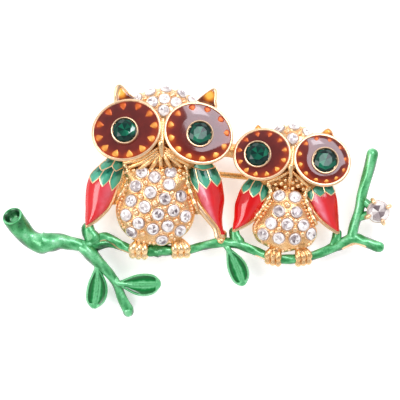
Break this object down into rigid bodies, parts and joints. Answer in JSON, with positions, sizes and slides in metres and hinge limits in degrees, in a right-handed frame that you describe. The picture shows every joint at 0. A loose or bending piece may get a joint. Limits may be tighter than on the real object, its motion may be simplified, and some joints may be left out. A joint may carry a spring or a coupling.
{
  "type": "figural animal brooch",
  "caption": "Brooch of a large and a small owl side by side on a leafy branch, with stone-set chests and crowns, enamelled eyes and wings, and a pin across the back.",
  "frame": {"origin": "The middle of the brooch's outline, on the table that it lies on with its fronts up.", "axes": "+X runs along the branch from the stump to the right twig, +Y from the branch up to the owls' ears, +Z out of the owls' fronts, away from the table."},
  "size_m": [0.0621, 0.0374, 0.0094],
  "materials": {
    "branch_lacquer": "glossy green lacquer over metal, with worn gold-toned edges",
    "leaf_enamel": "clear deep green enamel",
    "gold_plate": "bright warm gold-toned plating",
    "eye_enamel": "clear dark red-brown enamel",
    "eye_stone": "foil-backed green faceted glass",
    "ear_enamel": "clear amber enamel",
    "feather_enamel": "glossy blue-green enamel",
    "wing_enamel": "glossy red enamel",
    "clear_stone": "foil-backed clear faceted glass",
    "pin_metal": "plain gold-toned wire"
  },
  "bodies": {
    "root": {"branch": "branch_lacquer", "twig_setting": "gold_plate", "twig_stone": "clear_stone", "pin_back": "pin_metal", "leaf_enamel_low": "leaf_enamel", "leaf_enamel_side": "leaf_enamel", "leaf_enamel_mid": "leaf_enamel", "big_owl": "gold_plate", "big_eye_enamel_left": "eye_enamel", "big_eye_stone_left": "eye_stone", "big_ear_enamel_left": "ear_enamel", "big_feather_enamel_left": "feather_enamel", "big_wing_enamel_left": "wing_enamel", "big_eye_enamel_right": "eye_enamel", "big_eye_stone_right": "eye_stone", "big_ear_enamel_right": "ear_enamel", "big_feather_enamel_right": "feather_enamel", "big_wing_enamel_right": "wing_enamel", "big_chest_stones": "clear_stone", "big_crown_stones": "clear_stone", "small_owl": "gold_plate", "small_eye_enamel_left": "eye_enamel", "small_eye_stone_left": "eye_stone", "small_ear_enamel_left": "ear_enamel", "small_feather_enamel_left": "feather_enamel", "small_wing_enamel_left": "wing_enamel", "small_eye_enamel_right": "eye_enamel", "small_eye_stone_right": "eye_stone", "small_ear_enamel_right": "ear_enamel", "small_feather_enamel_right": "feather_enamel", "small_wing_enamel_right": "wing_enamel", "small_chest_stones": "clear_stone", "small_crown_stones": "clear_stone"}
  },
  "joints": []
}
